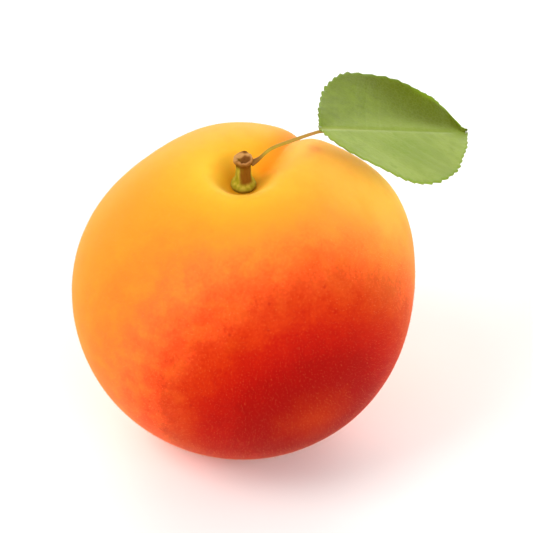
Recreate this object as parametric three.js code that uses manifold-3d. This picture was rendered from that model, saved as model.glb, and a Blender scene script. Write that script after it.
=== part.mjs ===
// A ripe apricot on its small flat spot, with its stem stub and one leaf.
// Millimetres, +Z up. The origin is the middle of the flat spot that it rests on.
// The leaf points to +X, and the seam runs from the stem towards +X +Y.

import * as THREE from 'three';
import { mergeVertices } from 'three/addons/utils/BufferGeometryUtils.js';
import Module from 'manifold-3d';

const wasm = await Module();
wasm.setup();

const DEGREES = Math.PI / 180;
const STEM_GAP = 0.3; // round the foot of the stem in its socket

// Fruit: half widths of the round body, before the hollows and cheeks.
const FRUIT_HALF_X = 24.8; // along the seam
const FRUIT_HALF_Y = 24.9; // across the seam
const FRUIT_HALF_Z = 24.5; // along the stem axis
const REST_HEIGHT = 23.9; // middle of the fruit above the flat spot
const STEM_LEAN = 6 * DEGREES; // the stem axis leans to -Y
const SEAM_HEADING = 63 * DEGREES; // from +X towards +Y

// Stem basin: a narrow pit with steep walls, in a wide dip.
const PIT_DEPTH = 2.6;
const PIT_RADIUS = 4.2;
const PIT_STEEPNESS = 5;
const DIP_DEPTH = 1.6;
const DIP_RADIUS = 9.0;

// Seam: a shallow furrow that is deeper and wider towards the stem, where it bends aside.
const SEAM_DEPTH = 0.45;
const SEAM_HALF_WIDTH = 0.9;
const SEAM_SHARPNESS = 1.5;
const SEAM_EXTRA_DEPTH = 2.4;
const SEAM_EXTRA_HALF_WIDTH = 2.2;
const SEAM_EXTRA_REACH = 17;
const SEAM_BEND = 26 * DEGREES; // at the stem, towards -Y
const SEAM_BEND_REACH = 11;
const SEAM_START_SOFTNESS = 1.2;
const SEAM_END = 172 * DEGREES;
const SEAM_FADE = 25 * DEGREES;

// Cheeks: the two lobes beside the seam, and a flatter shoulder beyond the second. Angles are in
// degrees from the stem and from the seam.
const CHEEKS = [
  { height: 1.9, from_stem: 66, from_seam: -40, reach_down: 25, reach_round: 26 },
  { height: 0.34, from_stem: 45, from_seam: 38, reach_down: 22, reach_round: 22 },
  { height: -0.73, from_stem: 51, from_seam: 85, reach_down: 18, reach_round: 46 },
];

// Fruit mesh.
const FRUIT_ROWS = 48;
const FRUIT_COLUMNS = 84;
const ROWS_TO_STEM = 1.35; // above 1, rows gather near the stem
const COLUMNS_TO_SEAM = 0.72; // 0 to 1, columns gather near the seam

// Stem: a lathed stub with bark ridges, its foot in a socket in the fruit.
// Heights are from the middle of the fruit, along the stem axis.
const STEM_FLARE_RADIUS = 1.85;
const STEM_PROFILE = [
  { height: 18.2, radius: 1.4 },
  { height: 19.4, radius: 1.55 },
  { height: 20.3, radius: 1.7 },
  { height: 20.8, radius: STEM_FLARE_RADIUS },
  { height: 21.15, radius: 1.7 },
  { height: 21.7, radius: 1.34 },
  { height: 22.4, radius: 1.16 },
  { height: 23.2, radius: 1.1 },
  { height: 24.1, radius: 1.1 },
  { height: 24.55, radius: 1.18 },
  { height: 24.8, radius: 1.36 },
  { height: 25.05, radius: 1.43 },
  { height: 25.3, radius: 1.36 },
  { height: 25.3, radius: 1.1 },
  { height: 25.15, radius: 0.8 },
  { height: 25.0, radius: 0.4 },
];
const STEM_STEPS = 34;
const STEM_SIDES = 30;
const STEM_RIDGES = 7;
const STEM_RIDGE_HEIGHT = 0.045; // as a part of the radius
const STEM_SHIFT_X = 0.3;
const SOCKET_RADIUS = STEM_FLARE_RADIUS * (1 + STEM_RIDGE_HEIGHT) + STEM_GAP;
const SOCKET_FLOOR = STEM_PROFILE[0].height - STEM_GAP;
const SOCKET_TOP = 21; // in the open air of the basin

// Leaf: a petiole and a toothed blade, grown as one. Points are from the middle of the fruit.
const PETIOLE_PATH = [
  [2.27, -2.23, 24.9],
  [4.3, -0.7, 25.8],
  [7.2, 1.5, 25.75],
  [10.1, 3.65, 25.5],
  [12.6, 5.5, 24.75],
];
const PETIOLE_FOOT_RADIUS = 0.62;
const PETIOLE_RADIUS = 0.42;
const PETIOLE_FOOT_REACH = 0.12; // as a part of its length
const PETIOLE_STEPS = 26;
const PETIOLE_SIDES = 10;
const BLADE_BASE = new THREE.Vector3(11.4, 4.6, 25.7);
const BLADE_ALONG = new THREE.Vector3(0.722, 0.5595, -0.4071);
const BLADE_ACROSS = new THREE.Vector3(-0.5328, 0.8249, 0.1888); // to the far half
const BLADE_LENGTH = 30.2;
const BLADE_THICKNESS = 0.66;
const BLADE_END_HALF_WIDTH = 0.42;
// From bluntStart to bluntEnd a half gives way to the tip. Both are parts of the length.
const FAR_HALF = { width: 12.8, rise: 1.07, fullness: 0.84, corner: 2.3, bluntStart: 0.959, bluntEnd: 0.971 };
const NEAR_HALF = { width: 12.1, rise: 0.79, fullness: 0.88, corner: 0, bluntStart: 0.985, bluntEnd: 1 };
const CORNER_AT = 0.96; // where a half is fuller just before the tip, as a part of the length
const CORNER_REACH = 0.09;
const TIP_HALF_WIDTH = 0.9;
const TIP_LENGTH = 0.05; // as a part of the length
const FAR_EDGE_LIFT = 1.5;
const FAR_EDGE_LIFT_START = 0.3; // as a part of the length, like the next two
const FAR_EDGE_LIFT_FULL = 0.8;
const FAR_EDGE_LIFT_WANE = 0.88;
const ARCH = 0.1;
const EDGE_WAVE = 0.22;
const EDGE_WAVES = 2.6;
const TEETH = 27; // on each side
const TOOTH_HEIGHT = 0.36;
const TOOTH_PEAK = 0.75; // where a tooth is highest, as a part of its length
const TOOTH_DRIFT = 0.28; // how far a tooth stands from its even place, in teeth
const TOOTH_DRIFT_TURNS = 17;
const TOOTH_UNEVENNESS = 0.3;
const TOOTH_UNEVEN_TURNS = 41;
const STATIONS_PER_TOOTH = 3;
const MIDRIB_HEIGHT = 0.5; // under the blade
const MIDRIB_HALF_WIDTH = 0.6;
const BLADE_LANES = [-1, -0.93, -0.8, -0.6, -0.35, -0.12, -0.04, 0, 0.04, 0.12, 0.35, 0.6, 0.8, 0.93, 1];

const bell = (distance, width) => Math.exp(-((distance / width) ** 2));
const clamp01 = (value) => THREE.MathUtils.clamp(value, 0, 1);

// A geometry with shared vertices.
function indexedGeometry(positions, triangles) {
  const geometry = new THREE.BufferGeometry();
  geometry.setAttribute('position', new THREE.Float32BufferAttribute(positions, 3));
  geometry.setIndex(triangles);
  return geometry;
}

function toManifold(geometry) {
  const bare = geometry.clone();
  bare.deleteAttribute('normal');
  bare.deleteAttribute('uv');
  const merged = mergeVertices(bare, 1e-5);
  return new wasm.Manifold(new wasm.Mesh({
    numProp: 3,
    vertProperties: new Float32Array(merged.attributes.position.array),
    triVerts: new Uint32Array(merged.index.array),
  }));
}

function fromManifold(solid) {
  const mesh = solid.getMesh();
  return indexedGeometry(Array.from(mesh.vertProperties), Array.from(mesh.triVerts));
}

// Wraps rings of points into a closed tube: a cap, the rings in turn, a cap.
function tubeFromRings(rings, startPoint, endPoint) {
  const sides = rings[0].length;
  const points = [startPoint, ...rings.flat(), endPoint];
  const last = points.length - 1;
  const vertex = (ring, side) => 1 + ring * sides + (side % sides);
  const triangles = [];
  for (let side = 0; side < sides; side += 1) {
    triangles.push(0, vertex(0, side + 1), vertex(0, side));
    triangles.push(last, vertex(rings.length - 1, side), vertex(rings.length - 1, side + 1));
    for (let ring = 0; ring + 1 < rings.length; ring += 1) {
      triangles.push(vertex(ring, side), vertex(ring, side + 1), vertex(ring + 1, side + 1));
      triangles.push(vertex(ring, side), vertex(ring + 1, side + 1), vertex(ring + 1, side));
    }
  }
  return indexedGeometry(points.flatMap((point) => point.toArray()), triangles);
}

function middleOf(points) {
  const sum = points.reduce((total, point) => total.add(point), new THREE.Vector3());
  return sum.divideScalar(points.length);
}

// Distance of the skin from the middle, at an angle from the stem and an angle from the seam.
function skinRadius(fromStem, fromSeam) {
  const sideways = Math.sin(fromStem);
  const flatness = Math.hypot(
    sideways * Math.cos(fromSeam) / FRUIT_HALF_X,
    sideways * Math.sin(fromSeam) / FRUIT_HALF_Y,
    Math.cos(fromStem) / FRUIT_HALF_Z,
  );
  const round = 1 / flatness;
  const fromAxis = round * sideways;
  const upper = fromStem < Math.PI / 2 ? 1 : 0;
  return round + cheeks(fromStem, fromSeam)
    - seamDepth(fromStem, fromSeam, fromAxis, upper)
    - upper * basinDepth(fromAxis) * clamp01(Math.cos(fromStem));
}

function cheeks(fromStem, fromSeam) {
  let height = 0;
  for (const cheek of CHEEKS) {
    const round = bell(fromSeam - cheek.from_seam * DEGREES, cheek.reach_round * DEGREES);
    const down = bell(fromStem - cheek.from_stem * DEGREES, cheek.reach_down * DEGREES);
    height += cheek.height * round * down;
  }
  return height;
}

function seamDepth(fromStem, straightFromSeam, fromAxis, upper) {
  const fromSeam = straightFromSeam + SEAM_BEND * upper * bell(fromAxis, SEAM_BEND_REACH);
  const nearStem = upper * bell(fromAxis, SEAM_EXTRA_REACH);
  const depth = SEAM_DEPTH + SEAM_EXTRA_DEPTH * nearStem;
  const halfWidth = SEAM_HALF_WIDTH + SEAM_EXTRA_HALF_WIDTH * nearStem;
  const toSide = Math.abs(fromAxis * Math.sin(fromSeam));
  const onSeamSide = 1 / (1 + Math.exp(-fromAxis * Math.cos(fromSeam) / SEAM_START_SOFTNESS));
  const fade = clamp01((SEAM_END - fromStem) / SEAM_FADE);
  const outsidePit = 1 - upper * pitShare(fromAxis);
  return depth * fade * onSeamSide * outsidePit * Math.exp(-((toSide / halfWidth) ** SEAM_SHARPNESS));
}

// 1 in the middle of the pit and 0 outside it.
function pitShare(fromAxis) {
  return Math.exp(-((fromAxis / PIT_RADIUS) ** PIT_STEEPNESS));
}

function basinDepth(fromAxis) {
  return PIT_DEPTH * pitShare(fromAxis) + DIP_DEPTH * bell(fromAxis, DIP_RADIUS);
}

function skinPoint(fromStem, fromSeam) {
  const radius = skinRadius(fromStem, fromSeam);
  const heading = SEAM_HEADING + fromSeam;
  return new THREE.Vector3(
    radius * Math.sin(fromStem) * Math.cos(heading),
    radius * Math.sin(fromStem) * Math.sin(heading),
    radius * Math.cos(fromStem),
  );
}

// The skin, closed at both poles, with its stem axis leaning.
function skinGeometry() {
  const rings = [];
  for (let row = FRUIT_ROWS - 1; row >= 1; row -= 1) {
    const fromStem = Math.PI * (row / FRUIT_ROWS) ** ROWS_TO_STEM;
    const ring = [];
    for (let column = 0; column < FRUIT_COLUMNS; column += 1) {
      const turn = 2 * Math.PI * column / FRUIT_COLUMNS - Math.PI;
      ring.push(skinPoint(fromStem, turn - COLUMNS_TO_SEAM * Math.sin(turn)));
    }
    rings.push(ring);
  }
  const geometry = tubeFromRings(rings, skinPoint(Math.PI, 0), skinPoint(0, 0));
  return geometry.rotateX(STEM_LEAN);
}

// A straight round hole for the foot of the stem, on the stem axis.
function socketGeometry() {
  const height = SOCKET_TOP - SOCKET_FLOOR;
  const hole = new THREE.CylinderGeometry(SOCKET_RADIUS, SOCKET_RADIUS, height, STEM_SIDES);
  hole.rotateX(Math.PI / 2);
  hole.translate(STEM_SHIFT_X, 0, SOCKET_FLOOR + height / 2);
  return hole.rotateX(STEM_LEAN);
}

function fruitGeometry() {
  const whole = toManifold(skinGeometry());
  const bored = whole.subtract(toManifold(socketGeometry()));
  const standing = bored.trimByPlane([0, 0, 1], -REST_HEIGHT);
  return fromManifold(standing);
}

function stemGeometry() {
  const knots = STEM_PROFILE.map(({ height, radius }) => new THREE.Vector2(radius, height));
  const curve = new THREE.SplineCurve(knots);
  const outline = curve.getPoints(STEM_STEPS);
  const floor = new THREE.Vector2(0, STEM_PROFILE[0].height);
  const scar = new THREE.Vector2(0, outline[STEM_STEPS].y);
  const lathe = new THREE.LatheGeometry([floor, ...outline, scar], STEM_SIDES);
  lathe.rotateX(Math.PI / 2);
  ridgeBark(lathe);
  lathe.translate(STEM_SHIFT_X, 0, 0);
  return lathe.rotateX(STEM_LEAN);
}

// Low ridges up the stem, each a swelling of its round section.
function ridgeBark(geometry) {
  const place = geometry.attributes.position;
  for (let index = 0; index < place.count; index += 1) {
    const heading = Math.atan2(place.getY(index), place.getX(index));
    const grow = 1 + STEM_RIDGE_HEIGHT * Math.cos(STEM_RIDGES * heading);
    place.setX(index, place.getX(index) * grow);
    place.setY(index, place.getY(index) * grow);
  }
}

// Half width of the blade at a part of its length, without teeth.
function bladeHalfWidth(along, half) {
  const swell = Math.max(0, Math.sin(Math.PI * along ** half.rise)) ** half.fullness;
  const blunt = 1 - THREE.MathUtils.smoothstep(along, half.bluntStart, half.bluntEnd);
  const body = (half.width * swell + half.corner * bell(along - CORNER_AT, CORNER_REACH)) * blunt;
  const tip = along > 0.5 ? TIP_HALF_WIDTH * clamp01((1 - along) / TIP_LENGTH) ** 0.8 : 0;
  return Math.max(body, tip, BLADE_END_HALF_WIDTH);
}

// Teeth that rise slowly and fall quickly, with small differences in place and size.
function toothHeight(station) {
  const count = station * TEETH + TOOTH_DRIFT * Math.sin(TOOTH_DRIFT_TURNS * station);
  const part = count % 1;
  const rise = part < TOOTH_PEAK ? part / TOOTH_PEAK : (1 - part) / (1 - TOOTH_PEAK);
  const size = TOOTH_HEIGHT * (1 + TOOTH_UNEVENNESS * Math.sin(TOOTH_UNEVEN_TURNS * station));
  return size * rise * Math.sqrt(Math.sin(Math.PI * station));
}

// Height of the blade over its plane: an arch, a lifted far edge and a waved rim.
function bladeLift(along, lane) {
  const far = clamp01(lane);
  const outwards = THREE.MathUtils.smoothstep(along, FAR_EDGE_LIFT_START, FAR_EDGE_LIFT_FULL);
  const tipwards = THREE.MathUtils.smoothstep(along, FAR_EDGE_LIFT_WANE, 1);
  const edge = FAR_EDGE_LIFT * far ** 1.6 * outwards * (1 - 0.5 * tipwards);
  const phase = 2 * Math.PI * EDGE_WAVES * along + 1.2 * Math.sign(lane);
  const wave = EDGE_WAVE * Math.sin(phase) * Math.abs(lane) ** 3;
  return ARCH * Math.sin(Math.PI * along) + edge + wave;
}

// A point of the blade's top: station runs from base to tip, lane from near edge to far edge.
function bladePoint(station, lane) {
  const along = (1 - Math.cos(Math.PI * station)) / 2;
  const half = lane < 0 ? NEAR_HALF : FAR_HALF;
  const halfWidth = bladeHalfWidth(along, half);
  const tooth = toothHeight(station) * Math.abs(lane) ** 6;
  const x = BLADE_LENGTH * along - tooth * Math.cos(Math.PI * station);
  const y = halfWidth * lane + Math.sign(lane) * tooth * Math.sin(Math.PI * station);
  const up = new THREE.Vector3().crossVectors(BLADE_ALONG, BLADE_ACROSS);
  const point = BLADE_BASE.clone();
  point.addScaledVector(BLADE_ALONG, x);
  point.addScaledVector(BLADE_ACROSS, y);
  point.addScaledVector(up, bladeLift(along, lane));
  return { point, up, thickness: bladeThickness(along, y) };
}

function bladeThickness(along, fromMidrib) {
  return BLADE_THICKNESS + MIDRIB_HEIGHT * (1 - along) * bell(fromMidrib, MIDRIB_HALF_WIDTH);
}

// The blade as a tube of flat rings: over the top from near to far, and back underneath.
function bladeGeometry() {
  const stations = TEETH * STATIONS_PER_TOOTH;
  const rings = [];
  for (let index = 0; index <= stations; index += 1) {
    const places = BLADE_LANES.map((lane) => bladePoint(index / stations, lane));
    const top = places.map(({ point }) => point);
    const under = places.map(({ point, up, thickness }) => point.clone().addScaledVector(up, -thickness));
    rings.push([...under, ...top.reverse()]);
  }
  return tubeFromRings(rings, middleOf(rings[0]), middleOf(rings[stations]));
}

// The petiole: a round stalk that swells at its foot and runs on under the blade.
function petioleGeometry() {
  const curve = new THREE.CatmullRomCurve3(PETIOLE_PATH.map((point) => new THREE.Vector3(...point)));
  const frames = curve.computeFrenetFrames(PETIOLE_STEPS, false);
  const rings = [];
  for (let step = 0; step <= PETIOLE_STEPS; step += 1) {
    const along = step / PETIOLE_STEPS;
    const swelling = PETIOLE_FOOT_RADIUS - PETIOLE_RADIUS;
    const radius = PETIOLE_RADIUS + swelling * bell(along, PETIOLE_FOOT_REACH);
    const centre = curve.getPointAt(along);
    const ring = [];
    for (let side = 0; side < PETIOLE_SIDES; side += 1) {
      const turn = 2 * Math.PI * side / PETIOLE_SIDES;
      const point = centre.clone();
      point.addScaledVector(frames.normals[step], radius * Math.cos(turn));
      point.addScaledVector(frames.binormals[step], radius * Math.sin(turn));
      ring.push(point);
    }
    rings.push(ring);
  }
  return tubeFromRings(rings, curve.getPointAt(0), curve.getPointAt(1));
}

function leafGeometry() {
  return fromManifold(toManifold(bladeGeometry()).add(toManifold(petioleGeometry())));
}

function piece(name, geometry, color, roughness) {
  const flat = geometry.toNonIndexed();
  flat.computeVertexNormals();
  const material = new THREE.MeshStandardMaterial({ color, roughness, metalness: 0 });
  const mesh = new THREE.Mesh(flat, material);
  mesh.name = name;
  return mesh;
}

const apricot = new THREE.Group();
apricot.position.z = REST_HEIGHT;
apricot.add(piece('fruit', fruitGeometry(), '#ff9a35', 0.62));
apricot.add(piece('stem', stemGeometry(), '#7d6238', 0.8));
apricot.add(piece('leaf', leafGeometry(), '#8fa556', 0.55));

export default apricot;
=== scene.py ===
# %% [markdown]
# # An apricot, dressed cell by cell
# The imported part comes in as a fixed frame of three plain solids: the fruit, its stem stub and its
# leaf. Finer pieces with the real surface then stand where the solids are: skin and down for the
# fruit, bark for the stem stub, a blade and a stalk for the leaf. Lengths are in metres. MM is one
# millimetre of the frame, taken from the fruit's own width, so the pieces keep to the frame.

# %% Load the frame
import math

import bpy
from mathutils import Matrix, Vector, noise


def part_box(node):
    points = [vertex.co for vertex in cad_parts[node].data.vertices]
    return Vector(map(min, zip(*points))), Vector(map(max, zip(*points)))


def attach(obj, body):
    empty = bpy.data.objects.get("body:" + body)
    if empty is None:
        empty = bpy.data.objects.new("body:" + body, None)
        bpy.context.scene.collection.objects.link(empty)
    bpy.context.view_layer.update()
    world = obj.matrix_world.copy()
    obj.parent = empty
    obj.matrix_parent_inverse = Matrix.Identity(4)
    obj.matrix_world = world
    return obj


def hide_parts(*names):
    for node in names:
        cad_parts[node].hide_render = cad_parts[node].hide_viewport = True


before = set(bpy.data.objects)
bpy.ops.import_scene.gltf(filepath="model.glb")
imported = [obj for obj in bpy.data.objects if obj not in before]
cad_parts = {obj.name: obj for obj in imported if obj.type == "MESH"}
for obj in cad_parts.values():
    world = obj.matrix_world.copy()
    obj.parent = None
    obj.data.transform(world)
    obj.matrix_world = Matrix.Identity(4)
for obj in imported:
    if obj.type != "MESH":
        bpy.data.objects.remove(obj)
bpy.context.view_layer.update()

FRUIT_WIDTH_MM = 50.19
fruit_low, fruit_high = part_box("fruit")
MM = (fruit_high.x - fruit_low.x) / FRUIT_WIDTH_MM
REST_HEIGHT = 23.9 * MM
MIDDLE = Vector((0, 0, REST_HEIGHT))
print(f"one millimetre is {MM:.6f} m, and the fruit is {fruit_high.z / MM:.1f} mm tall")

# %% [markdown]
# ## Camera
# The camera looks down on the fruit from the front at 36 degrees, from about arm's length, through
# a long lens, so that the round form keeps its proportions. It aims a little above and to the right
# of the fruit, because the leaf stands out there.

# %% Place the camera
CAMERA_HEIGHT_ANGLE = math.radians(36)
CAMERA_DISTANCE = 630 * MM
VIEW_WIDTH = 78 * MM
AIM_RIGHT = 3.6 * MM
AIM_UP = 3.6 * MM

right = Vector((1, 0, 0))
forward = Vector((0, math.cos(CAMERA_HEIGHT_ANGLE), -math.sin(CAMERA_HEIGHT_ANGLE)))
up = right.cross(forward)
camera = bpy.data.objects.new("camera", bpy.data.cameras.new("camera"))
bpy.context.collection.objects.link(camera)
camera.data.lens = camera.data.sensor_width * CAMERA_DISTANCE / VIEW_WIDTH
camera.data.clip_start = 0.01
camera.location = MIDDLE + AIM_RIGHT * right + AIM_UP * up - CAMERA_DISTANCE * forward
camera.rotation_euler = forward.to_track_quat("-Z", "Y").to_euler()
bpy.context.scene.camera = camera
print(f"the lens is {camera.data.lens:.0f} mm long")

# %% [markdown]
# ## Wires
# Materials and Geometry Nodes are both trees of nodes, and most of what they do is arithmetic. A
# Wire stands for one output socket. Adding, multiplying or comparing wires adds the Math nodes, so
# a formula in a tree reads like a formula. Every other node comes from the method named node.

# %% Define wires
class Wire:
    """One output socket of a node tree. Arithmetic on wires adds the nodes that work it out."""

    def __init__(self, tree, socket=None):
        self.tree = tree
        self.socket = socket

    def node(self, kind, settings=None, inputs=None, output=0):
        """Adds a node, sets its settings and then its inputs, and returns one of its outputs."""
        made = self.tree.nodes.new(kind)
        for name, value in (settings or {}).items():
            if name == "stops":
                set_stops(made.color_ramp, value)
            else:
                setattr(made, name, value)
        for name, value in (inputs or {}).items():
            if isinstance(value, Wire):
                self.tree.links.new(value.socket, made.inputs[name])
            else:
                made.inputs[name].default_value = value
        return Wire(self.tree, made.outputs[output])

    def math(self, operation, *values):
        return self.node("ShaderNodeMath", {"operation": operation}, dict(enumerate(values)))

    def __add__(self, other):
        return self.math("ADD", self, other)

    def __sub__(self, other):
        return self.math("SUBTRACT", self, other)

    def __rsub__(self, other):
        return self.math("SUBTRACT", other, self)

    def __mul__(self, other):
        return self.math("MULTIPLY", self, other)

    def __truediv__(self, other):
        return self.math("DIVIDE", self, other)

    def __rtruediv__(self, other):
        return self.math("DIVIDE", other, self)

    def __pow__(self, other):
        return self.math("POWER", self, other)

    def __neg__(self):
        return self * -1

    def __lt__(self, other):
        return self.math("LESS_THAN", self, other)

    def __gt__(self, other):
        return self.math("GREATER_THAN", self, other)

    __radd__ = __add__
    __rmul__ = __mul__

    def sin(self):
        return self.math("SINE", self)

    def cos(self):
        return self.math("COSINE", self)

    def arccosine(self):
        return self.math("ARCCOSINE", self)

    def exponent(self):
        return self.math("EXPONENT", self)

    def size(self):
        return self.math("ABSOLUTE", self)

    def fraction(self):
        return self.math("FRACT", self)

    def least(self, other):
        return self.math("MINIMUM", self, other)

    def most(self, other):
        return self.math("MAXIMUM", self, other)

    def bell(self, width):
        """1 where this wire is 0, falling off smoothly over the width."""
        return (-((self / width) ** 2)).exponent()

    def ramp(self, start, end):
        """0 up to the start and 1 from the end on, with a smooth rise between them."""
        settings = {"interpolation_type": "SMOOTHSTEP"}
        return self.node("ShaderNodeMapRange", settings, {0: self, 1: start, 2: end, 3: 0.0, 4: 1.0})

    def parts(self):
        """The three parts of a vector."""
        split = self.node("ShaderNodeSeparateXYZ", inputs={0: self}).socket.node
        return [Wire(self.tree, socket) for socket in split.outputs]

    def vector(self, x, y, z):
        return self.node("ShaderNodeCombineXYZ", inputs={0: x, 1: y, 2: z})

    def vector_math(self, operation, *values, output=0):
        settings = {"operation": operation}
        return self.node("ShaderNodeVectorMath", settings, dict(enumerate(values)), output)

    def mix(self, colour, other):
        """From one colour at 0 to the other at 1."""
        settings = {"data_type": "RGBA", "clamp_factor": True}
        return self.node("ShaderNodeMix", settings, {0: self, 6: colour, 7: other}, output=2)


def set_stops(ramp, stops):
    """Gives a colour ramp its stops, each a place from 0 to 1 and a colour."""
    while len(ramp.elements) > 1:
        ramp.elements.remove(ramp.elements[-1])
    ramp.elements[0].position = stops[0][0]
    ramp.elements[0].color = stops[0][1]
    for place, colour in stops[1:]:
        ramp.elements.new(place).color = colour


print("wires are ready")

# %% [markdown]
# ## Growing a piece
# A Geometry Nodes tree is a recipe. It has a named input for each size, and a modifier fills them
# in. The same form could be sculpted, but a recipe can be read, and grown again with other sizes.
# The result is kept as a plain mesh, because a grown piece doesn't need its recipe any more.

# %% Make and run a tree
def new_tree(name, sizes):
    """A tree with one named input for each size. Returns its wires by name."""
    tree = bpy.data.node_groups.new(name, "GeometryNodeTree")
    tree.interface.new_socket("Geometry", in_out="INPUT", socket_type="NodeSocketGeometry")
    for size in sizes:
        tree.interface.new_socket(size, in_out="INPUT", socket_type="NodeSocketFloat")
    tree.interface.new_socket("Geometry", in_out="OUTPUT", socket_type="NodeSocketGeometry")
    given = tree.nodes.new("NodeGroupInput")
    return {socket.name: Wire(tree, socket) for socket in given.outputs if socket.name}


def end_tree(geometry, material):
    """Ends a tree: smooth shading, real meshes in place of instances, and the finish."""
    smooth = geometry.node("GeometryNodeSetShadeSmooth", inputs={"Geometry": geometry})
    real = smooth.node("GeometryNodeRealizeInstances", inputs={0: smooth})
    finished = real.node("GeometryNodeSetMaterial", inputs={"Geometry": real, "Material": material})
    outlet = geometry.tree.nodes.new("NodeGroupOutput")
    geometry.tree.links.new(finished.socket, outlet.inputs[0])
    return geometry.tree


def grow(name, tree, sizes, start=None):
    """Runs a tree on a mesh, and keeps the result as a plain mesh object at the origin."""
    holder = bpy.data.objects.new(name + "_recipe", start or bpy.data.meshes.new(name + "_start"))
    bpy.context.collection.objects.link(holder)
    modifier = holder.modifiers.new("Grow", "NODES")
    modifier.node_group = tree
    for socket in tree.interface.items_tree:
        if socket.name in sizes:
            modifier[socket.identifier] = sizes[socket.name]
    graph = bpy.context.evaluated_depsgraph_get()
    mesh = bpy.data.meshes.new_from_object(holder.evaluated_get(graph), depsgraph=graph)
    bpy.data.objects.remove(holder)
    return keep(name, mesh)


def keep(name, mesh):
    """Makes an object of a mesh, and counts its triangles."""
    piece = bpy.data.objects.new(name, mesh)
    mesh.name = name
    bpy.context.collection.objects.link(piece)
    print(f"{name}: {sum(len(face.vertices) - 2 for face in mesh.polygons)} triangles")
    return piece


# %% [markdown]
# ## Paint and shaders
# Colours are written as on a paint card, and turned into the linear values that light uses. A
# finish starts from the surface's own place in space, measured in millimetres from the middle of
# the fruit and turned upright along the stem, so every pattern is drawn where it belongs. Tints
# are then laid over a ground colour one after another, like thin coats of paint. A painted image
# could do the same, but it would have to be stretched over the ball.

# %% Define paint and material helpers
STEM_LEAN = math.radians(6)


def paint(card):
    """A linear colour with alpha from a paint card's #RRGGBB."""
    parts = [int(card[start:start + 2], 16) / 255 for start in (1, 3, 5)]
    return (*(((c + 0.055) / 1.055) ** 2.4 if c > 0.04045 else c / 12.92 for c in parts), 1.0)


def covered(colour, tints):
    """The colour under its tints: where each one lies, how strongly it covers, and its colour."""
    for where, strength, tint in tints:
        colour = (where * strength).mix(colour, tint)
    return colour


def upright_place(wires):
    """The surface's place in millimetres from the middle of the fruit, with the stem axis as Z."""
    place = wires.node("ShaderNodeTexCoord", output=3)
    turned = {"Location": MIDDLE, "Rotation": (STEM_LEAN, 0, 0), "Scale": (MM, MM, MM)}
    inputs = {"Vector": place, **turned}
    return place.node("ShaderNodeMapping", {"vector_type": "TEXTURE"}, inputs)


def speckle(place, scale, detail=2.0, roughness=0.5):
    """Soft random values from 0 to 1, with scale features to each unit of the place."""
    inputs = {"Vector": place, "Scale": scale, "Detail": detail, "Roughness": roughness}
    return place.node("ShaderNodeTexNoise", inputs=inputs)


def bumps(height, depth, strength=1.0):
    """A shading normal for a height from 0 to 1 that is depth deep."""
    inputs = {"Strength": strength, "Distance": depth, "Height": height}
    return height.node("ShaderNodeBump", inputs=inputs)


def make_material(name, finish, constant):
    """A Principled material: finish gives its wired inputs, and constant its plain numbers."""
    material = bpy.data.materials.new(name)
    material.use_nodes = True
    material.node_tree.nodes.clear()
    wires = Wire(material.node_tree)
    shader = wires.node("ShaderNodeBsdfPrincipled", inputs={**finish(wires), **constant})
    outlet = wires.tree.nodes.new("ShaderNodeOutputMaterial")
    wires.tree.links.new(shader.socket, outlet.inputs["Surface"])
    return material


print("paint and finishes are ready")

# %% [markdown]
# ## The form of the fruit
# An apricot is nearly a ball, with a pit round the stem, a furrow down one side and a fuller cheek
# on each side of that furrow. All of it follows from two angles: how far a point is from the stem,
# and how far round it is from the furrow. So a Geometry Nodes tree takes an even ball and moves
# each point out to the radius that the formula gives. The points are first drawn together towards
# the furrow and the stem, where the form turns most sharply.

# %% Sizes of the fruit
SEAM_HEADING = math.radians(63)
BALL_SUBDIVISIONS = 7
GATHER_TO_SEAM = 0.62
GATHER_TO_STEM = 1.28
FRUIT_SIZES = {
    "Half along seam": 24.8 * MM,
    "Half across seam": 24.9 * MM,
    "Half height": 24.5 * MM,
    "Rest height": REST_HEIGHT,
    "Pit depth": 2.6 * MM,
    "Pit radius": 4.2 * MM,
    "Dip depth": 1.6 * MM,
    "Dip radius": 9.0 * MM,
    "Furrow depth": 0.45 * MM,
    "Furrow half width": 0.9 * MM,
    "Extra furrow depth": 2.4 * MM,
    "Extra furrow half width": 2.2 * MM,
    "Extra furrow reach": 17 * MM,
    "Furrow bend reach": 11 * MM,
    "Unevenness": 0.09 * MM,
}
# height, angle from the stem, angle from the furrow, reach down and reach round, in degrees
CHEEKS = [
    (1.9 * MM, 66, -40, 25, 26),
    (0.34 * MM, 45, 38, 22, 22),
    (-0.73 * MM, 51, 85, 18, 46),
]
print(f"{len(FRUIT_SIZES)} sizes and {len(CHEEKS)} cheeks")

# %% Parts of the formula
FURROW_END = math.radians(172)
FURROW_FADE = math.radians(25)
FURROW_START_SOFTNESS = 1.2 * MM
FURROW_BEND = math.radians(26)
FURROW_SHARPNESS = 1.5
PIT_STEEPNESS = 5


def round_body(size, from_stem, from_seam):
    """Distance from the middle to an ellipsoid."""
    along = from_stem.sin() * from_seam.cos() / size["Half along seam"]
    across = from_stem.sin() * from_seam.sin() / size["Half across seam"]
    high = from_stem.cos() / size["Half height"]
    return 1 / (along ** 2 + across ** 2 + high ** 2) ** 0.5


def cheeks(from_stem, from_seam):
    """The fuller flesh beside the furrow, and a flatter shoulder beyond it."""
    total = 0
    for height, stem_angle, seam_angle, reach_down, reach_round in CHEEKS:
        down = (from_stem - math.radians(stem_angle)).bell(math.radians(reach_down))
        around = (from_seam - math.radians(seam_angle)).bell(math.radians(reach_round))
        total = total + height * down * around
    return total


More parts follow.
